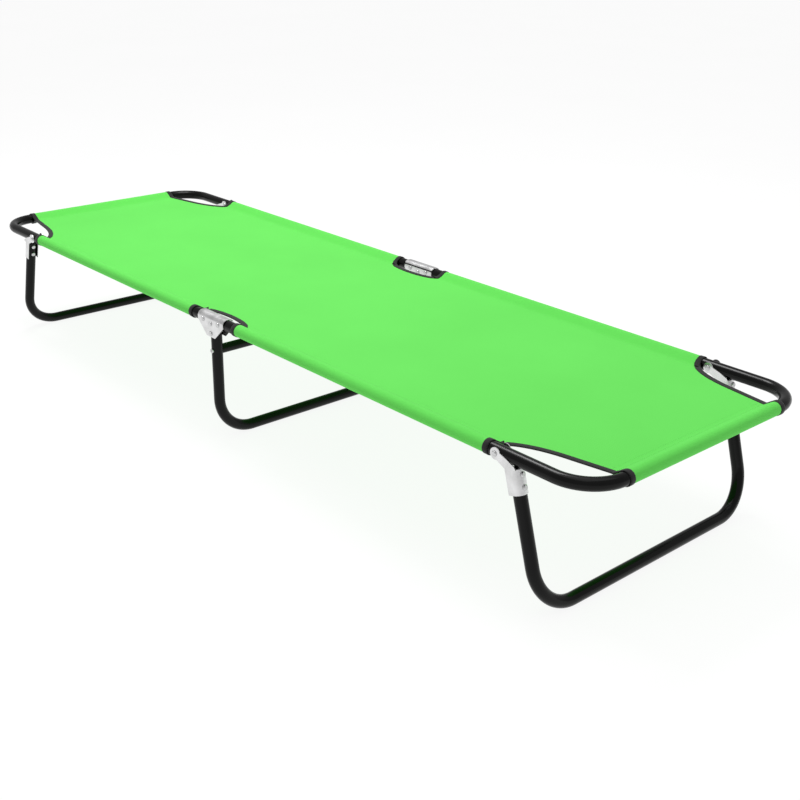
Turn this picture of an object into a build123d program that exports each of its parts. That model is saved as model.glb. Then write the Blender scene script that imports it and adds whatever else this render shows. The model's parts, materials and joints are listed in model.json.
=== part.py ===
from build123d import *

import os
from math import cos, pi, radians, sin

# A folding cot. Two U-shaped rail frames meet at a pair of hinge brackets over a middle leg, and
# each has a folding U-shaped leg near its end. A cloth sling is sleeved over the rails.
# +X is the foot end and +Y the far side. The origin is on the floor, under the middle.

os.makedirs("parts", exist_ok=True)

# Driving dimensions, in millimetres and degrees
overall_length = 1890
tube_r = 11
tube_wall = 1.2
rail_y = 271
rail_z = 250
rail_bend = 70
leg_bend = 75
hinge_x = 25
leg_x = 757
leg_lean = 16.6
leg_offset = 27
leg_top = 23.5
plate = 1.5
rivet_r = 3
hole_r = 3.05
head_r = 4.75
head_h = 2.2

# Hinge brackets
bracket_half = 43
bracket_gap = 11.5
roof_bend = 9
rail_end = 5
cheek_corner_z = 247
cheek_bottom_z = 219
cheek_bottom_half = 14
lip_z = 258
inner_plate_top_z = 255.5
middle_leg_top_z = 252.5
middle_leg_rivet_z = (246, 226)

# Leg clasps
clasp_gap = 11.3
clasp_end = 64
clasp_open = 16
clasp_rivet_s = (33, 53)
ear_r = 9.8
ear_shift = 1.2

# Crossbar of the middle leg
crossbar_r = 9.5
crossbar_z = 190
screw_r = 2.5
screw_hole_r = 2.55
screw_head_r = 4.6
screw_head_h = 2.4
plug_length = 25

# Sling
cloth = 1.2
sleeve_in_r = 11.1
sleeve_out_r = 12
tape_out_r = 12.4
tape_width = 9
tape_thick = 2.2
tape_fit = 0.05
middle_cut_half = 68
middle_cut_edge = 240
corner_cut_x = 740
corner_cut_y = 200
sling_split = 1.5
corner_bow = 12
corner_bow_length = 105

# Values that follow from them
end_x = overall_length / 2 - tube_r
lean_sin = sin(radians(leg_lean))
lean_cos = cos(radians(leg_lean))
leg_down = (lean_sin, 0, -lean_cos)
leg_out = (lean_cos, 0, lean_sin)
foot_bar_s = (rail_z - tube_r + leg_offset * lean_sin) / lean_cos
sleeve_wall_r = (sleeve_in_r + sleeve_out_r) / 2
sheet_y = rail_y - sleeve_wall_r
sheet_end_x = end_x - sleeve_wall_r
sling_start = hinge_x + sling_split
bar_cut_x = end_x - tape_out_r
cut_start_y = rail_y - tape_out_r
past_x = end_x + 2 * sleeve_out_r
past_y = rail_y + 2 * sleeve_out_r
on_base = (Align.CENTER, Align.CENTER, Align.MIN)
far_side = Plane.XZ
head_end = Plane.YZ


def leg_point(s, n, y=0):
    """A point on the foot end's leg: s runs down the leg from its pivot, and n runs outwards."""
    return (
        leg_x + s * leg_down[0] + n * leg_out[0],
        y,
        rail_z + s * leg_down[2] + n * leg_out[2],
    )


def tube_section(radius):
    Circle(radius)
    Circle(radius - tube_wall, mode=Mode.SUBTRACT)


def drill(centre, direction, radius, depth):
    with Locations(Plane(origin=centre, z_dir=direction)):
        Cylinder(radius, depth, mode=Mode.SUBTRACT)


def rivet(start, direction, grip):
    """A rivet from the start point along the direction, with a flat head at each end."""
    with Locations(Plane(origin=start, z_dir=direction)):
        Cylinder(rivet_r, grip, align=on_base)
        Cylinder(head_r, head_h, align=(Align.CENTER, Align.CENTER, Align.MAX))
        with Locations((0, 0, grip)):
            Cylinder(head_r, head_h, align=on_base)


def dome_heads(rivets):
    """Rounds the outer edge of every rivet head in the piece."""
    head_area = pi * head_r**2
    ends = rivets.faces().filter_by(lambda face: abs(face.area - head_area) < 1)
    fillet(ends.edges(), radius=0.8 * head_h)


def twin(piece, about):
    """The mirror image of a piece in a plane through the origin."""
    with BuildPart() as copy:
        mirror(piece.part, about=about)
    return copy


def save(piece, node):
    piece.part.label = node
    export_step(piece.part, "parts/" + node + ".step")


# Rail frame of the foot half: one U-shaped tube, bevelled where it turns inside the brackets
with BuildPart() as foot_rail_frame:
    rail_start = hinge_x - rail_end
    with BuildLine():
        FilletPolyline(
            (rail_start, -rail_y, rail_z),
            (end_x, -rail_y, rail_z),
            (end_x, rail_y, rail_z),
            (rail_start, rail_y, rail_z),
            radius=rail_bend,
        )
    with BuildSketch(Plane(origin=(rail_start, -rail_y, rail_z), z_dir=(1, 0, 0))):
        tube_section(tube_r)
    sweep()
    bevel_x = 4.5
    bevel_z = 2.5
    for way in (1, -1):
        with BuildSketch(Plane.XZ.offset(-rail_y - 2 * tube_r)):
            Polygon(
                (rail_start - 1, rail_z + way * (tube_r - bevel_z)),
                (rail_start, rail_z + way * (tube_r - bevel_z)),
                (rail_start + bevel_x, rail_z + way * (tube_r + 0.2)),
                (rail_start - 1, rail_z + way * (tube_r + 0.2)),
                align=None,
            )
        extrude(amount=2 * rail_y + 4 * tube_r, mode=Mode.SUBTRACT)
    for side_y in (-rail_y, rail_y):
        drill((hinge_x, side_y, rail_z), (0, 1, 0), hole_r, 4 * tube_r)
        drill((leg_x, side_y, rail_z), (0, 1, 0), hole_r, 4 * tube_r)
save(foot_rail_frame, "foot_rail_frame")
save(twin(foot_rail_frame, head_end), "head_rail_frame")

# End leg: a U-shaped tube that leans outwards and stands beside its own pivot line
with BuildPart() as foot_leg:
    with BuildLine():
        FilletPolyline(
            leg_point(leg_top, leg_offset, -rail_y),
            leg_point(foot_bar_s, leg_offset, -rail_y),
            leg_point(foot_bar_s, leg_offset, rail_y),
            leg_point(leg_top, leg_offset, rail_y),
            radius=leg_bend,
        )
    with BuildSketch(Plane(origin=leg_point(leg_top, leg_offset, -rail_y), z_dir=leg_down)):
        tube_section(tube_r)
    sweep()
    for side_y in (-rail_y, rail_y):
        for rivet_s in clasp_rivet_s:
            drill(leg_point(rivet_s, leg_offset, side_y), leg_out, hole_r, 4 * tube_r)
save(foot_leg, "foot_leg")
save(twin(foot_leg, head_end), "head_leg")

# Leg clasp: two ears beside the rail, and a web that wraps the outboard side of the leg
with BuildPart() as foot_far_clasp:
    for face_y in (rail_y + clasp_gap + plate, rail_y - clasp_gap):
        with BuildSketch(Plane(origin=(leg_x, face_y, rail_z), x_dir=leg_down, z_dir=(0, -1, 0))):
            with Locations((0, ear_shift)):
                Circle(ear_r)
            Polygon(
                (0, ear_shift - ear_r),
                (12.5, 5),
                (22.5, clasp_open),
                (clasp_end, clasp_open),
                (clasp_end, leg_offset),
                (leg_top + 0.5, leg_offset),
                (leg_top + 0.5, leg_offset + clasp_gap),
                (19, leg_offset + clasp_gap - 2),
                (9, 24.4),
                (0, ear_shift + ear_r),
                align=None,
            )
        extrude(amount=plate)
    web_place = Plane(
        origin=leg_point(leg_top + 0.5, leg_offset, rail_y), x_dir=(0, 1, 0), z_dir=leg_down
    )
    with BuildSketch(web_place):
        Circle(clasp_gap + plate)
        Circle(clasp_gap, mode=Mode.SUBTRACT)
        with Locations((0, -2 * tube_r)):
            Rectangle(4 * tube_r, 4 * tube_r, mode=Mode.SUBTRACT)
    extrude(amount=clasp_end - leg_top - 0.5)
    drill((leg_x, rail_y, rail_z), (0, 1, 0), hole_r, 4 * tube_r)
    for rivet_s in clasp_rivet_s:
        drill(leg_point(rivet_s, leg_offset, rail_y), leg_out, hole_r, 4 * tube_r)
foot_near_clasp = twin(foot_far_clasp, far_side)
save(foot_far_clasp, "foot_far_clasp")
save(foot_near_clasp, "foot_near_clasp")
save(twin(foot_far_clasp, head_end), "head_far_clasp")
save(twin(foot_near_clasp, head_end), "head_near_clasp")

# Rivets that hold each clasp on its leg, with their tails on the leg's inboard side
with BuildPart() as foot_clasp_rivets:
    for side_y in (-rail_y, rail_y):
        for rivet_s in clasp_rivet_s:
            rivet_start = leg_point(rivet_s, leg_offset - tube_r, side_y)
            rivet(rivet_start, leg_out, tube_r + clasp_gap + plate)
    dome_heads(foot_clasp_rivets)
save(foot_clasp_rivets, "foot_clasp_rivets")
save(twin(foot_clasp_rivets, head_end), "head_clasp_rivets")

# Rivets that the leg clasps turn on, through the rail
with BuildPart() as foot_leg_pivots:
    for side_y in (-rail_y, rail_y):
        rivet_start = (leg_x, side_y - clasp_gap - plate, rail_z)
        rivet(rivet_start, (0, 1, 0), 2 * (clasp_gap + plate))
    dome_heads(foot_leg_pivots)
save(foot_leg_pivots, "foot_leg_pivots")
save(twin(foot_leg_pivots, head_end), "head_leg_pivots")

# Middle leg: an upright U-shaped tube that ends between the rails, inside the brackets
with BuildPart() as middle_leg:
    with BuildLine():
        FilletPolyline(
            (0, -rail_y, middle_leg_top_z),
            (0, -rail_y, tube_r),
            (0, rail_y, tube_r),
            (0, rail_y, middle_leg_top_z),
            radius=leg_bend,
        )
    with BuildSketch(Plane(origin=(0, -rail_y, middle_leg_top_z), z_dir=(0, 0, -1))):
        tube_section(tube_r)
    sweep()
    for side_y in (-rail_y, rail_y):
        for rivet_z in middle_leg_rivet_z:
            drill((0, side_y, rivet_z), (0, 1, 0), hole_r, 4 * tube_r)
        drill((0, side_y, crossbar_z), (0, 1, 0), screw_hole_r, 4 * tube_r)
save(middle_leg, "middle_leg")

# Crossbar between the uprights of the middle leg, with its ends coped to their round sides
with BuildPart() as middle_crossbar:
    with BuildSketch(Plane.XZ.offset(-rail_y)):
        with Locations((0, crossbar_z)):
            tube_section(crossbar_r)
    extrude(amount=2 * rail_y)
    for side_y in (-rail_y, rail_y):
        drill((0, side_y, crossbar_z), (0, 0, 1), tube_r + 0.05, 4 * tube_r)
save(middle_crossbar, "middle_crossbar")

# Plastic plugs inside the crossbar's ends, which take its screws
with BuildPart() as crossbar_plugs:
    plug_end = rail_y - tube_r - 0.5
    for way in (1, -1):
        with BuildSketch(Plane(origin=(0, way * plug_end, crossbar_z), z_dir=(0, -way, 0))):
            Circle(crossbar_r - tube_wall - 0.1)
            Circle(screw_hole_r, mode=Mode.SUBTRACT)
        extrude(amount=plug_length)
save(crossbar_plugs, "crossbar_plugs")

# Screws from outside, through each upright and into the plugs
with BuildPart() as crossbar_screws:
    screw_length = 2 * tube_r + plug_length - 5
    for way in (1, -1):
        screw_place = Plane(origin=(0, way * (rail_y + tube_r), crossbar_z), z_dir=(0, way, 0))
        with BuildSketch(screw_place):
            Circle(screw_r)
        extrude(amount=-screw_length)
        with BuildSketch(screw_place):
            Circle(screw_head_r)
        extrude(amount=screw_head_h)
        with BuildSketch(screw_place.offset(screw_head_h)):
            Rectangle(5, 1)
            Rectangle(1, 5)
        extrude(amount=-1.2, mode=Mode.SUBTRACT)
save(crossbar_screws, "crossbar_screws")

# Hinge bracket, outer part: a cheek outside the rails, with a roof over them and a short inner lip
cheek_outline = [
    (-bracket_half, rail_z + 2 * tube_r),
    (bracket_half, rail_z + 2 * tube_r),
    (bracket_half, cheek_corner_z),
    (cheek_bottom_half, cheek_bottom_z),
    (-cheek_bottom_half, cheek_bottom_z),
    (-bracket_half, cheek_corner_z),
]
bracket_holes = [(-hinge_x, rail_z), (hinge_x, rail_z)] + [(0, z) for z in middle_leg_rivet_z]
with BuildPart() as far_bracket_saddle:
    top_middle = (Align.CENTER, Align.MAX)
    with BuildSketch(Plane.YZ.offset(-bracket_half)):
        with Locations((rail_y, rail_z + bracket_gap + plate)):
            RectangleRounded(
                2 * (bracket_gap + plate), 8 * tube_r, roof_bend + plate, align=top_middle
            )
        with Locations((rail_y, rail_z + bracket_gap)):
            RectangleRounded(
                2 * bracket_gap, 8 * tube_r, roof_bend, align=top_middle, mode=Mode.SUBTRACT
            )
        with Locations((rail_y, lip_z)):
            Rectangle(4 * tube_r, 8 * tube_r, align=(Align.MAX, Align.MAX), mode=Mode.SUBTRACT)
        with Locations((rail_y, cheek_bottom_z)):
            Rectangle(4 * tube_r, 8 * tube_r, align=top_middle, mode=Mode.SUBTRACT)
    extrude(amount=2 * bracket_half)
    with BuildSketch(Plane.XZ.offset(-rail_y - 2 * tube_r)) as cheek:
        Polygon(*cheek_outline, align=None)
        fillet(cheek.vertices(), radius=3)
    extrude(amount=4 * tube_r, mode=Mode.INTERSECT)
    for hole_x, hole_z in bracket_holes:
        drill((hole_x, rail_y + bracket_gap, hole_z), (0, 1, 0), hole_r, 10 * plate)
save(far_bracket_saddle, "far_bracket_saddle")
save(twin(far_bracket_saddle, far_side), "near_bracket_saddle")

# Hinge bracket, inner part: a flat cheek plate on the sling's side of the rails
with BuildPart() as far_bracket_plate:
    with BuildSketch(Plane.XZ.offset(-rail_y + bracket_gap)) as cheek:
        Polygon(*cheek_outline, align=None)
        with Locations((0, inner_plate_top_z)):
            Rectangle(
                4 * bracket_half, 4 * tube_r, align=(Align.CENTER, Align.MIN), mode=Mode.SUBTRACT
            )
        fillet(cheek.vertices(), radius=2.5)
    extrude(amount=plate)
    for hole_x, hole_z in bracket_holes:
        drill((hole_x, rail_y - bracket_gap, hole_z), (0, 1, 0), hole_r, 10 * plate)
save(far_bracket_plate, "far_bracket_plate")
save(twin(far_bracket_plate, far_side), "near_bracket_plate")

# Rivets through both cheeks of each bracket: one for each rail to turn on, and two for the leg
with BuildPart() as foot_hinge_rivets:
    for side_y in (-rail_y, rail_y):
        rivet_start = (hinge_x, side_y - bracket_gap - plate, rail_z)
        rivet(rivet_start, (0, 1, 0), 2 * (bracket_gap + plate))
    dome_heads(foot_hinge_rivets)
save(foot_hinge_rivets, "foot_hinge_rivets")
save(twin(foot_hinge_rivets, head_end), "head_hinge_rivets")

with BuildPart() as middle_leg_rivets:
    for side_y in (-rail_y, rail_y):
        for rivet_z in middle_leg_rivet_z:
            rivet_start = (0, side_y - bracket_gap - plate, rivet_z)
            rivet(rivet_start, (0, 1, 0), 2 * (bracket_gap + plate))
    dome_heads(middle_leg_rivets)
save(middle_leg_rivets, "middle_leg_rivets")


# Sling: a cloth sheet at the level of the rail axes, with sleeves round the rails and end bars.
# It is cut away round both brackets and at the corners, and tape binds every cut edge.
def middle_cut(grow):
    """The cut-outs of the sling over both brackets, grown by a margin: half ellipses."""
    half = middle_cut_half + grow
    depth = cut_start_y - middle_cut_edge + grow
    with BuildSketch() as cut:
        with BuildLine():
            EllipticalCenterArc((0, cut_start_y), half, depth, start_angle=180, arc_size=180)
            Polyline(
                (half, cut_start_y), (half, past_y), (-half, past_y), (-half, cut_start_y)
            )
        make_face()
        mirror(about=far_side)
    return cut.sketch


def corner_cut(grow):
    """The cut-outs of the sling at both foot corners, grown by a margin."""
    rail_x = corner_cut_x - grow
    bar_y = corner_cut_y - grow
    bow_y = bar_y + corner_bow
    bow_x = rail_x + corner_bow_length
    with BuildSketch() as cut:
        with BuildLine():
            Line((rail_x, past_y), (rail_x, cut_start_y))
            Bezier(
                (rail_x, cut_start_y),
                (rail_x + 12, cut_start_y - 18),
                (bow_x - 60, bow_y + 9),
                (bow_x, bow_y),
            )
            Polyline((bow_x, bow_y), (bar_cut_x, bar_y), (past_x, bar_y), (past_x, past_y))
            Line((past_x, past_y), (rail_x, past_y))
        make_face()
        mirror(about=far_side)
    return cut.sketch


def sleeve(start, direction, radius, length):
    """A round sleeve of cloth or tape about a tube, from its start along the tube."""
    with BuildSketch(Plane(origin=start, z_dir=direction)) as ring:
        Circle(radius)
        Circle(sleeve_in_r, mode=Mode.SUBTRACT)
    extrude(ring.sketch, amount=length)


with BuildPart() as sling_foot:
    with BuildSketch(Plane.XY.offset(rail_z - cloth / 2)):
        with Locations((sling_start, 0)):
            Rectangle(sheet_end_x - sling_start, 2 * sheet_y, align=(Align.MIN, Align.CENTER))
        add(middle_cut(tape_width), mode=Mode.SUBTRACT)
        add(corner_cut(tape_width), mode=Mode.SUBTRACT)
    extrude(amount=cloth)
    sleeve_from = middle_cut_half + tape_width
    sleeve_length = corner_cut_x - tape_width - sleeve_from
    for side_y in (-rail_y, rail_y):
        sleeve((sleeve_from, side_y, rail_z), (1, 0, 0), sleeve_out_r, sleeve_length)
    bar_half = corner_cut_y - tape_width
    sleeve((end_x, -bar_half, rail_z), (0, 1, 0), sleeve_out_r, 2 * bar_half)
save(sling_foot, "sling_foot")
save(twin(sling_foot, head_end), "sling_head")

with BuildPart() as sling_centre:
    with BuildSketch(Plane.XY.offset(rail_z - cloth / 2)):
        Rectangle(2 * (hinge_x - sling_split), 2 * sheet_y)
        add(middle_cut(tape_width), mode=Mode.SUBTRACT)
    extrude(amount=cloth)
save(sling_centre, "sling_centre")

# Tape round each corner cut-out, with a turn round the end of each sleeve
with BuildPart() as foot_far_corner_tape:
    with BuildSketch(Plane.XY.offset(rail_z - tape_thick / 2)):
        add(corner_cut(tape_width - tape_fit))
        add(corner_cut(0), mode=Mode.SUBTRACT)
        Rectangle(sheet_end_x, sheet_y, align=(Align.MIN, Align.MIN), mode=Mode.INTERSECT)
    extrude(amount=tape_thick)
    rail_turn = (corner_cut_x - tape_width, rail_y, rail_z)
    bar_turn = (end_x, corner_cut_y - tape_width, rail_z)
    sleeve(rail_turn, (1, 0, 0), tape_out_r, tape_width)
    sleeve(bar_turn, (0, 1, 0), tape_out_r, tape_width)
foot_near_corner_tape = twin(foot_far_corner_tape, far_side)
save(foot_far_corner_tape, "foot_far_corner_tape")
save(foot_near_corner_tape, "foot_near_corner_tape")
save(twin(foot_far_corner_tape, head_end), "head_far_corner_tape")
save(twin(foot_near_corner_tape, head_end), "head_near_corner_tape")

# Tape round the middle cut-outs, parted at both hinge lines like the sling
with BuildPart() as foot_middle_tape:
    with BuildSketch(Plane.XY.offset(rail_z - tape_thick / 2)):
        add(middle_cut(tape_width - tape_fit))
        add(middle_cut(0), mode=Mode.SUBTRACT)
        with Locations((sling_start, 0)):
            Rectangle(
                2 * middle_cut_half,
                2 * sheet_y,
                align=(Align.MIN, Align.CENTER),
                mode=Mode.INTERSECT,
            )
    extrude(amount=tape_thick)
    for side_y in (-rail_y, rail_y):
        sleeve((middle_cut_half, side_y, rail_z), (1, 0, 0), tape_out_r, tape_width)
save(foot_middle_tape, "foot_middle_tape")
save(twin(foot_middle_tape, head_end), "head_middle_tape")

with BuildPart() as centre_middle_tape:
    with BuildSketch(Plane.XY.offset(rail_z - tape_thick / 2)):
        add(middle_cut(tape_width - tape_fit))
        add(middle_cut(0), mode=Mode.SUBTRACT)
        Rectangle(2 * (hinge_x - sling_split), 2 * sheet_y, mode=Mode.INTERSECT)
    extrude(amount=tape_thick)
save(centre_middle_tape, "centre_middle_tape")
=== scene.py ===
import json
from math import acos, asin, cos, pi, radians, sin

import bpy
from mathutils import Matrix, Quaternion, Vector


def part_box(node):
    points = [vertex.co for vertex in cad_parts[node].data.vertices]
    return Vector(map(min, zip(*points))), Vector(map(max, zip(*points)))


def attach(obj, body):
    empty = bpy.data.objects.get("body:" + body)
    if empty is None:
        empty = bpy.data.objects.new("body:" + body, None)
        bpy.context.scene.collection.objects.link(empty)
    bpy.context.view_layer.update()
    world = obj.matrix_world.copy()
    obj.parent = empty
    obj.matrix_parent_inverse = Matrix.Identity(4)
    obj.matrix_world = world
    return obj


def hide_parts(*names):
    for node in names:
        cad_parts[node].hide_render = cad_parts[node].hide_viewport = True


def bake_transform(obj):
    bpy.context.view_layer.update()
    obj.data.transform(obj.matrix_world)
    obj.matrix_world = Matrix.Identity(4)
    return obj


# A folding cot: black tube frame and zinc sheet fittings from CAD, with a green cloth sling
# in sleeves over the tubes and black tape bound over its cut edges. All sizes are in metres.

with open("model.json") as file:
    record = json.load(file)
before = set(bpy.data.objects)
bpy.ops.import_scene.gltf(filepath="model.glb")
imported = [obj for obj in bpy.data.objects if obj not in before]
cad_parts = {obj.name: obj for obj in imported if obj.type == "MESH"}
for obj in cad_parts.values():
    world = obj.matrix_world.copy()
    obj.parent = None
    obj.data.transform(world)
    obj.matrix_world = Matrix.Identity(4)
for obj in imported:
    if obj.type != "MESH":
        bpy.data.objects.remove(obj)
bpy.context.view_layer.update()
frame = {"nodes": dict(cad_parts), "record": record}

# Set in the CAD: the tape's width, and the outer radius of its ends round the sleeves
TAPE_WIDTH = 0.009
TAPE_RING_R = 0.0124

# Sizes that the frame gives
rail_low, rail_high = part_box("foot_rail_frame")
TUBE_R = (rail_high.z - rail_low.z) / 2
RAIL_Y = rail_high.y - TUBE_R
RAIL_Z = rail_high.z - TUBE_R
END_X = rail_high.x - TUBE_R
tape_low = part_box("foot_far_corner_tape")[0]
CORNER_X = tape_low.x + TAPE_WIDTH
CORNER_Y = tape_low.y + TAPE_WIDTH
MIDDLE_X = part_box("foot_middle_tape")[1].x - TAPE_WIDTH

# Sling: thickness, sleeves, and the seam and hem inboard of each tube's axis
CLOTH = 0.0006
SLEEVE_R = TUBE_R + CLOTH
SEAM = 0.021
HEM = 0.013
SEAM_Y = RAIL_Y - SEAM
SEAM_X = END_X - SEAM
UNDER_SEAM = 0.0012
UNDER_RAIL_HEM = 0.0017
UNDER_BAR_HEM = 0.0022
BAR_HEM_SHARE = 0.995

# Cut-outs: the pulls are the distances of a curve's control points from its ends
CUT_START = RAIL_Y - TAPE_RING_R
MIDDLE_EDGE = 0.240
CORNER_BOW = 0.012
CORNER_BOW_LENGTH = 0.105
CORNER_PULL = (0.012, 0.018)
BOW_PULL = (0.060, 0.009)
SAME_PLACE = 0.0005

# Tape: how far it reaches over the cloth, and how thick its underside is beside its top
BINDING = 0.0100
BELOW_FLAT = 1.0
BELOW_ROUND = 0.4

# The most the sheet sags, and how sharply that ends
SAG = 0.0024
SAG_POWER = 6

# Steps of the mesh
SLEEVE_STEPS = 71
ACROSS_STEPS = 30
MIDDLE_STEPS = 20
CORNER_STEPS = 32
BAR_STEPS = 8
RISE_STEPS = 4
TURN_STEPS = 24
SHARP = radians(50)


# ---------------------------------------------------------------- mesh helpers
def new_piece(name, points, faces, material, smooth=True):
    mesh = bpy.data.meshes.new(name)
    mesh.from_pydata([tuple(p) for p in points], [], faces)
    mesh.validate()
    mesh.update()
    for polygon in mesh.polygons:
        polygon.use_smooth = smooth
    piece = bpy.data.objects.new(name, mesh)
    bpy.context.scene.collection.objects.link(piece)
    mesh.materials.append(material)
    return piece


class Skin:
    """Points and faces gathered from strips, with points that coincide shared."""

    def __init__(self):
        self.points = []
        self.faces = []
        self.places = {}

    def point(self, place):
        key = tuple(round(c * 1e6) for c in place)
        if key not in self.places:
            self.places[key] = len(self.points)
            self.points.append(Vector(place))
        return self.places[key]

    def strip(self, rows, closed=False):
        """A sheet of quads over rows of equally many places."""
        marks = [[self.point(place) for place in row] for row in rows]
        for near, far in zip(marks, marks[1:]):
            count = len(near) if closed else len(near) - 1
            for i in range(count):
                k = (i + 1) % len(near)
                quad = [near[i], near[k], far[k], far[i]]
                if len(set(quad)) >= 3:
                    self.faces.append(list(dict.fromkeys(quad)))

    def cap(self, ring):
        self.faces.append([self.point(place) for place in ring])


def tidy_normals(piece):
    bpy.context.view_layer.objects.active = piece
    for other in bpy.context.selected_objects:
        other.select_set(False)
    piece.select_set(True)
    bpy.ops.object.mode_set(mode="EDIT")
    bpy.ops.mesh.select_all(action="SELECT")
    bpy.ops.mesh.normals_make_consistent(inside=False)
    bpy.ops.object.mode_set(mode="OBJECT")


def thicken(piece, amount):
    modifier = piece.modifiers.new("cloth", "SOLIDIFY")
    modifier.thickness = amount
    modifier.offset = 0
    bpy.context.view_layer.objects.active = piece
    bpy.ops.object.modifier_apply(modifier=modifier.name)
    piece.data.set_sharp_from_angle(angle=SHARP)


# ---------------------------------------------------------------- materials
def new_material(name, color, roughness, metallic=0.0):
    material = bpy.data.materials.new(name)
    material.use_nodes = True
    shader = material.node_tree.nodes["Principled BSDF"]
    shader.inputs["Base Color"].default_value = (*color, 1)
    shader.inputs["Roughness"].default_value = roughness
    shader.inputs["Metallic"].default_value = metallic
    return material, material.node_tree, shader


def add_node(tree, kind, **values):
    node = tree.nodes.new(kind)
    for key, value in values.items():
        if hasattr(node, key):
            setattr(node, key, value)
        else:
            node.inputs[key.replace("_", " ")].default_value = value
    return node


def object_places(tree):
    return add_node(tree, "ShaderNodeTexCoord").outputs["Object"]


def ramp(tree, source, low, high, low_color, high_color):
    node = add_node(tree, "ShaderNodeValToRGB")
    node.color_ramp.elements[0].position = low
    node.color_ramp.elements[0].color = (*low_color, 1)
    node.color_ramp.elements[1].position = high
    node.color_ramp.elements[1].color = (*high_color, 1)
    tree.links.new(source, node.inputs["Fac"])
    return node.outputs["Color"]


def noise(tree, places, scale, detail=3.0):
    node = add_node(tree, "ShaderNodeTexNoise", Scale=scale, Detail=detail)
    tree.links.new(places, node.inputs["Vector"])
    return node.outputs["Fac"]


def bump(tree, shader, height, strength, distance):
    node = add_node(tree, "ShaderNodeBump", Strength=strength, Distance=distance)
    tree.links.new(height, node.inputs["Height"])
    tree.links.new(node.outputs["Normal"], shader.inputs["Normal"])


def grey(value):
    return (value, value, value)


def weave(tree, places, thread):
    """The height of a plain weave: two sets of threads that cross in the sheet's plane."""
    waves = []
    for direction in ("X", "Y"):
        wave = add_node(
            tree, "ShaderNodeTexWave", Scale=1 / (thread * 20), Distortion=0.4,
            Detail_Scale=1.5,
        )
        wave.bands_direction = direction
        tree.links.new(places, wave.inputs["Vector"])
        waves.append(wave.outputs["Fac"])
    cross = add_node(tree, "ShaderNodeMath", operation="MULTIPLY")
    tree.links.new(waves[0], cross.inputs[0])
    tree.links.new(waves[1], cross.inputs[1])
    return cross.outputs["Value"]


def cloth_material(name, dark, light, roughness, thread, sheen):
    material, tree, shader = new_material(name, light, roughness)
    places = object_places(tree)
    height = weave(tree, places, thread)
    broad = noise(tree, places, 4.0)
    tree.links.new(ramp(tree, broad, 0.3, 0.7, dark, light), shader.inputs["Base Color"])
    fine = noise(tree, places, 900.0, 2.0)
    both = add_node(tree, "ShaderNodeMath", operation="ADD")
    tree.links.new(height, both.inputs[0])
    tree.links.new(fine, both.inputs[1])
    bump(tree, shader, both.outputs["Value"], 0.35, 0.0002)
    shader.inputs["Sheen Weight"].default_value = sheen
    shader.inputs["Sheen Roughness"].default_value = 0.5
    shader.inputs["Specular IOR Level"].default_value = 0.25
    return material


def powder_coat():
    material, tree, shader = new_material("powder_coat", grey(0.004), 0.2)
    places = object_places(tree)
    peel = noise(tree, places, 420.0, 2.0)
    bump(tree, shader, peel, 0.10, 0.0003)
    wear = noise(tree, places, 9.0, 5.0)
    tree.links.new(
        ramp(tree, wear, 0.35, 0.7, grey(0.15), grey(0.25)), shader.inputs["Roughness"]
    )
    tree.links.new(
        ramp(tree, wear, 0.3, 0.7, grey(0.0015), grey(0.004)), shader.inputs["Base Color"]
    )
    shader.inputs["Specular IOR Level"].default_value = 0.16
    return material


def zinc(name, dark, light, scale):
    material, tree, shader = new_material(name, grey(light), 0.34, 1.0)
    places = object_places(tree)
    cloud = noise(tree, places, scale, 4.0)
    tree.links.new(
        ramp(tree, cloud, 0.3, 0.7, grey(dark), (light, light, light * 1.01)),
        shader.inputs["Base Color"],
    )
    tree.links.new(
        ramp(tree, cloud, 0.25, 0.75, grey(0.26), grey(0.42)), shader.inputs["Roughness"]
    )
    grain = noise(tree, places, 700.0, 2.0)
    bump(tree, shader, grain, 0.12, 0.0002)
    return material


def plug_plastic():
    material, tree, shader = new_material("plug_plastic", grey(0.03), 0.5)
    places = object_places(tree)
    cloud = noise(tree, places, 60.0)
    tree.links.new(
        ramp(tree, cloud, 0.3, 0.7, grey(0.02), grey(0.035)), shader.inputs["Base Color"]
    )
    bump(tree, shader, noise(tree, places, 500.0), 0.1, 0.0002)
    return material


GREEN = cloth_material(
    "green_canvas", (0.116, 0.640, 0.086), (0.124, 0.675, 0.093), 0.85, 0.0007, 0.04
)
THREAD = cloth_material(
    "green_thread", (0.10, 0.50, 0.08), (0.13, 0.58, 0.10), 0.7, 0.0004, 0.1
)
TAPE = cloth_material("black_tape", grey(0.006), grey(0.012), 0.75, 0.0008, 0.15)
COAT = powder_coat()
ZINC = zinc("zinc_sheet", 0.62, 0.82, 45.0)
RIVET = zinc("zinc_rivet", 0.50, 0.70, 160.0)
PLASTIC = plug_plastic()

SLOT_MATERIALS = {
    "black_tube": COAT,
    "zinc_sheet": ZINC,
    "rivet_steel": RIVET,
    "plug_plastic": PLASTIC,
}
for subpart in frame["record"]["subparts"]:
    if subpart["material_slot"] in SLOT_MATERIALS:
        mesh = frame["nodes"][subpart["node"]].data
        mesh.materials.clear()
        mesh.materials.append(SLOT_MATERIALS[subpart["material_slot"]])


# ---------------------------------------------------------------- outlines of the sling
def middle_edge(x):
    """Half the sling's width at x over the bracket: half an ellipse in from the sleeve."""
    share = min(x / MIDDLE_X, 1)
    return CUT_START - (CUT_START - MIDDLE_EDGE) * (1 - share**2) ** 0.5


def middle_x(y):
    """Where the cut edge over the bracket is, at a distance y from the middle line."""
    share = max(0.0, CUT_START - max(y, SEAM_Y)) / (CUT_START - MIDDLE_EDGE)
    return MIDDLE_X * (1 - share**2) ** 0.5


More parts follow.
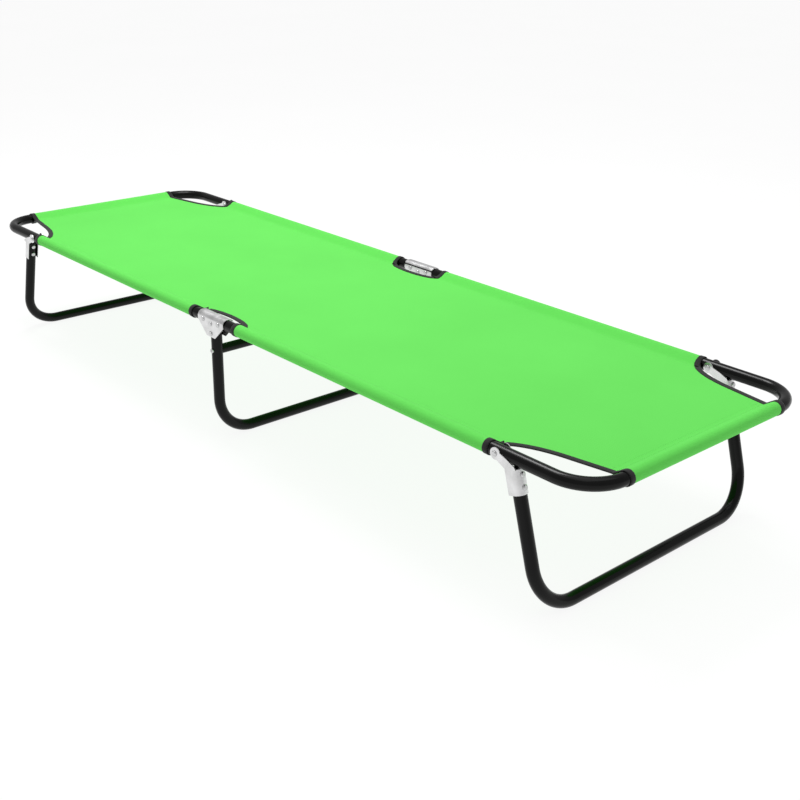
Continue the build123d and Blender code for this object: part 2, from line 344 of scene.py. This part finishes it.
def middle_outline():
    """The cut edge over the far bracket, from the middle to the sleeve's seam."""
    last = middle_x(SEAM_Y)
    whole = asin(last / MIDDLE_X)
    angles = [whole * i / MIDDLE_STEPS for i in range(MIDDLE_STEPS + 1)]
    places = [MIDDLE_X * sin(angle) for angle in angles]
    return [Vector((x, middle_edge(x))) for x in places]


def corner_curve():
    """The cut edge of the far foot corner, from the rail's sleeve to the end bar's seam."""
    bow = Vector((CORNER_X + CORNER_BOW_LENGTH, CORNER_Y + CORNER_BOW))
    start = Vector((CORNER_X, CUT_START))
    first = Vector((CORNER_X + CORNER_PULL[0], CUT_START - CORNER_PULL[1]))
    second = Vector((bow.x - BOW_PULL[0], bow.y + BOW_PULL[1]))
    points = []
    for i in range(CORNER_STEPS + 1):
        t = i / CORNER_STEPS
        points.append(
            start * (1 - t) ** 3
            + first * 3 * t * (1 - t) ** 2
            + second * 3 * t**2 * (1 - t)
            + bow * t**3
        )
    last = Vector((SEAM_X, CORNER_Y))
    return points + [bow.lerp(last, i / BAR_STEPS) for i in range(1, BAR_STEPS + 1)]


def corner_x(y):
    """Where the cut edge of the corner is, at a distance y from the middle line."""
    y = max(y, SEAM_Y)
    for near, far in zip(CORNER, CORNER[1:]):
        if near.y >= y >= far.y:
            return near.x + (far.x - near.x) * (near.y - y) / (near.y - far.y)
    return CORNER_X


CORNER = corner_curve()
CORNER_OUTLINE = [Vector((corner_x(SEAM_Y), SEAM_Y))]
CORNER_OUTLINE += [place for place in CORNER if place.y < SEAM_Y - SAME_PLACE]


def sheet_height(x, share):
    """The sheet's height: taut at its edges, and a little lower between them."""
    along = max(0.0, 1 - (abs(x) / SEAM_X) ** SAG_POWER)
    return RAIL_Z - SAG * (1 - share**2) * along


def sleeve_section(radius, grow=0.0):
    """One turn of cloth about a tube, as (outward, up) from its axis, from seam to seam."""
    lean = acos(radius / SEAM)
    turn = pi - lean
    places = []
    top = (-radius * cos(lean), radius * sin(lean))
    for i in range(RISE_STEPS):
        t = i / RISE_STEPS
        places.append((-SEAM + (top[0] + SEAM) * t, top[1] * t))
    for i in range(TURN_STEPS + 1):
        angle = turn - 2 * turn * i / TURN_STEPS
        places.append((radius * cos(angle), radius * sin(angle)))
    for i in range(1, RISE_STEPS + 1):
        t = 1 - i / RISE_STEPS
        places.append((-SEAM + (top[0] + SEAM) * t, -top[1] * t))
    if not grow:
        return places
    grown = []
    for i, (out, up) in enumerate(places):
        ahead = places[min(i + 1, len(places) - 1)]
        behind = places[max(i - 1, 0)]
        along = Vector((ahead[0] - behind[0], ahead[1] - behind[1])).normalized()
        grown.append((out - along.y * grow, up + along.x * grow))
    return grown


def pucker(s):
    """How much the seam puckers at a distance s along it."""
    return 0.00022 * sin(s * 2 * pi / 0.019) + 0.00018 * sin(s * 2 * pi / 0.0127 + 1)


def bulge(lift, i):
    """A pucker's lift at place i of a sleeve's section: none at the seam or past the rise."""
    near_seam = max(0.0, 1 - i / (RISE_STEPS + 1))
    return lift * (1 - abs(near_seam - 0.5) * 2)


# ---------------------------------------------------------------- sling
def sling_skin():
    """The foot half of the sling, from x = 0 to the end bar."""
    skin = Skin()
    columns = [i / ACROSS_STEPS for i in range(-ACROSS_STEPS, ACROSS_STEPS + 1)]
    first, last = middle_x(SEAM_Y), corner_x(SEAM_Y)
    along = [(p.x, p.y) for p in middle_outline()]
    along += [
        (first + (last - first) * i / SLEEVE_STEPS, SEAM_Y)
        for i in range(1, SLEEVE_STEPS + 1)
    ]
    along += [(p.x, p.y) for p in CORNER_OUTLINE[1:]]
    rows = [
        [(x, edge * v, sheet_height(x, v)) for v in columns] for x, edge in along
    ]
    skin.strip(rows)
    section = sleeve_section(SLEEVE_R)
    for side in (1, -1):
        rows = []
        for step in range(SLEEVE_STEPS + 1):
            share = step / SLEEVE_STEPS
            lift = pucker(MIDDLE_X + (CORNER_X - MIDDLE_X) * share)
            row = []
            for i, (out, up) in enumerate(section):
                start, end = middle_x(RAIL_Y + out), corner_x(RAIL_Y + out)
                x = start + (end - start) * share
                row.append((x, side * (RAIL_Y + out), RAIL_Z + up + bulge(lift, i)))
            x = first + (last - first) * share
            row[0] = (x, side * SEAM_Y, RAIL_Z)
            row[-1] = (x, side * SEAM_Y, RAIL_Z - UNDER_SEAM)
            row.append((x, side * (SEAM_Y - HEM), RAIL_Z - UNDER_RAIL_HEM))
            rows.append(row)
        skin.strip(rows)
    bar_rows = []
    for v in columns:
        y = CORNER_Y * v
        lift = pucker(y)
        row = []
        for i, (out, up) in enumerate(section):
            row.append((END_X + out, y, RAIL_Z + up + bulge(lift, i)))
        row[0] = (SEAM_X, y, sheet_height(SEAM_X, v))
        row[-1] = (SEAM_X, y, RAIL_Z - UNDER_SEAM)
        row.append((SEAM_X - HEM, y * BAR_HEM_SHARE, RAIL_Z - UNDER_BAR_HEM))
        bar_rows.append(row)
    skin.strip(bar_rows)
    return skin


def stitch_lines(way):
    """Small thread dashes beside the sleeve seams, on top of and below the cloth."""
    skin = Skin()
    pitch, length, width, height = 0.0042, 0.0029, 0.00035, 0.00028
    insets, clear_of_tape, underside = (0.0022, HEM - 0.002), 0.012, 0.0024
    lines = []
    for side in (1, -1):
        for inset in insets:
            y = side * (SEAM_Y - inset)
            start = Vector((MIDDLE_X + clear_of_tape, y, 0))
            lines.append((start, Vector((CORNER_X - clear_of_tape, y, 0))))
    for inset in insets:
        x = SEAM_X - inset
        edge = CORNER_Y - clear_of_tape
        lines.append((Vector((x, -edge, 0)), Vector((x, edge, 0))))
    for start, end in lines:
        run = end - start
        step = run.normalized()
        across = Vector((-step.y, step.x, 0)) * width
        for i in range(int(run.length / pitch)):
            first = start + step * (pitch * i)
            last = first + step * length
            middle = (first + last) / 2
            edge = SEAM_Y if middle.x < CORNER_X else CORNER_Y
            surface = sheet_height(middle.x, min(1.0, abs(middle.y) / edge))
            faces = ((surface + CLOTH / 2, height), (surface - underside, -height))
            for base, rise in faces:
                rings = []
                for place, lift in ((first, 0.1), (middle, 1.0), (last, 0.1)):
                    z = base + rise * lift
                    low = base - rise * 0.6
                    rings.append([
                        (way * place.x - across.x * way, place.y - across.y, low),
                        (way * place.x, place.y, z),
                        (way * place.x + across.x * way, place.y + across.y, low),
                    ])
                skin.strip(rings, closed=True)
                skin.cap(rings[0])
                skin.cap(rings[-1])
    return skin


def tape_profile(below):
    """Folded tape in section, as (into the cloth, up), closed round the cut edge."""
    half = 0.0013
    top = [(BINDING, 0.00045), (BINDING - 0.0004, half * 0.75), (BINDING - 0.0016, half)]
    top += [(0.0050, half * 0.9), (0.0016, half * 1.1)]
    top += [(0.0, half * 0.9), (-0.0008, half * 0.4)]
    return top + [(into, -up * below) for into, up in reversed(top)]


def flat_path(outline):
    """Level places and the way up from them, for tape along a cut edge of the sheet."""
    return [(Vector((p.x, p.y, RAIL_Z)), Vector((0, 0, 1)), BELOW_FLAT) for p in outline]


def sleeve_path(axis, out, start):
    """Places and the way out from them round the end of a sleeve, from its seam over the tube.

    axis is a point on the tube's axis, out the level way away from the sheet, and start says
    how far the sleeve's end lies along the tube at a given distance from that axis.
    """
    path = []
    sections = zip(sleeve_section(SLEEVE_R), sleeve_section(SLEEVE_R, grow=0.001))
    for (a, b), (c, d) in sections:
        place = axis + out * a + Vector((0, 0, b)) + start(a)
        outward = (out * (c - a) + Vector((0, 0, d - b))).normalized()
        path.append((place, outward, BELOW_ROUND))
    return path


def binding(skin, path, cloth_side, way, side):
    """One band of tape along a path; cloth_side is roughly where the cloth lies from it."""
    rings = []
    last = len(path) - 1
    for i, (place, outward, below) in enumerate(path):
        behind, ahead = path[max(i - 1, 0)], path[min(i + 1, last)]
        along = (ahead[0] - behind[0]).normalized()
        up = (behind[1] + outward * 2 + ahead[1]).normalized()
        into = up.cross(along).normalized()
        if into.dot(cloth_side) < 0:
            into = -into
        ring = [place + into * a + up * b for a, b in tape_profile(below)]
        rings.append([(way * q.x, side * q.y, q.z) for q in ring])
    skin.strip(rings, closed=True)
    skin.cap(rings[0])
    skin.cap(rings[-1])


def rail_path(end_x_at):
    """The path round the rail's sleeve, whose end lies at end_x_at(distance from the middle)."""
    axis = Vector((0, RAIL_Y, RAIL_Z))
    return sleeve_path(
        axis, Vector((0, 1, 0)), lambda a: Vector((end_x_at(RAIL_Y + a), 0, 0))
    )


def middle_tape_skin(way):
    skin = Skin()
    path = flat_path(middle_outline()) + rail_path(middle_x)[1:]
    for side in (1, -1):
        binding(skin, path, Vector((1, -1, 0)), way, side)
    return skin


def corner_tape_skin(way, side):
    skin = Skin()
    bar = sleeve_path(
        Vector((END_X, CORNER_Y, RAIL_Z)), Vector((1, 0, 0)), lambda a: Vector((0, 0, 0))
    )
    path = rail_path(corner_x)[:0:-1] + flat_path(CORNER_OUTLINE) + bar[1:]
    binding(skin, path, Vector((-1, -1, 0)), way, side)
    return skin


def bend_at_hinge(piece):
    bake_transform(piece)


skin = sling_skin()
for end, way in (("foot", 1), ("head", -1)):
    half = end + "_half"
    places = [Vector((way * p.x, p.y, p.z)) for p in skin.points]
    sling = new_piece(end + "_sling", places, skin.faces, GREEN)
    tidy_normals(sling)
    thicken(sling, CLOTH)
    bend_at_hinge(sling)
    replaced = ["sling_" + end] + (["sling_centre"] if way > 0 else [])
    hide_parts(*replaced)

    middle = middle_tape_skin(way)
    tape = new_piece(end + "_middle_binding", middle.points, middle.faces, TAPE)
    tidy_normals(tape)
    bend_at_hinge(tape)
    replaced = [end + "_middle_tape"] + (["centre_middle_tape"] if way > 0 else [])
    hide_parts(*replaced)

    for side_name, side in (("far", 1), ("near", -1)):
        corner = corner_tape_skin(way, side)
        name = f"{end}_{side_name}_corner"
        tape = new_piece(name + "_binding", corner.points, corner.faces, TAPE)
        tidy_normals(tape)
        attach(tape, half)
        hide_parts(name + "_tape")

    dashes = stitch_lines(way)
    stitches = new_piece(end + "_stitches", dashes.points, dashes.faces, THREAD)
    tidy_normals(stitches)
    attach(stitches, half)


# ---------------------------------------------------------------- stage, light and camera
def make_stage():
    material, tree, shader = new_material("pale_floor", grey(0.12), 0.9)
    places = object_places(tree)
    tree.links.new(
        ramp(tree, noise(tree, places, 1.5), 0.3, 0.7, grey(0.115), grey(0.125)),
        shader.inputs["Base Color"],
    )
    shader.inputs["Specular IOR Level"].default_value = 0.0
    shader.inputs["Emission Color"].default_value = (1, 1, 1, 1)
    shader.inputs["Emission Strength"].default_value = 0.9
    size = 60
    corners = [(-size, -size, 0), (size, -size, 0), (size, size, 0), (-size, size, 0)]
    floor = new_piece("floor", corners, [(0, 1, 2, 3)], material, smooth=False)


def area_light(name, place, target, size, power):
    data = bpy.data.lights.new(name, "AREA")
    data.shape = "RECTANGLE"
    data.size, data.size_y = size
    data.energy = power
    light = bpy.data.objects.new(name, data)
    light.location = place
    aim = Vector(target) - Vector(place)
    light.rotation_euler = aim.to_track_quat("-Z", "Y").to_euler()
    bpy.context.scene.collection.objects.link(light)


def make_light():
    world = bpy.context.scene.world or bpy.data.worlds.new("studio")
    bpy.context.scene.world = world
    world.use_nodes = True
    background = world.node_tree.nodes["Background"]
    background.inputs["Color"].default_value = (1, 1, 1, 1)
    background.inputs["Strength"].default_value = 0.5
    area_light("top", (0, 0, 3.2), (0, 0, 0), (4.0, 3.0), 45)
    area_light("key", (-0.9, 0.2, 2.9), (0.1, 0, 0.2), (1.2, 0.8), 43)


def make_camera():
    data = bpy.data.cameras.new("camera")
    data.lens = 52.78
    data.sensor_width = 36
    camera = bpy.data.objects.new("camera", data)
    place = Vector((1.82408, -1.44214, 1.00510))
    target = Vector((0.1870, 0.0426, 0.0591))
    roll = Quaternion((0, 0, 1), radians(1.0254))
    camera.rotation_mode = "QUATERNION"
    camera.rotation_quaternion = (target - place).to_track_quat("-Z", "Y") @ roll
    camera.location = place
    bpy.context.scene.collection.objects.link(camera)
    bpy.context.scene.camera = camera


make_stage()
make_light()
make_camera()
bpy.context.scene.view_settings.view_transform = "Standard"
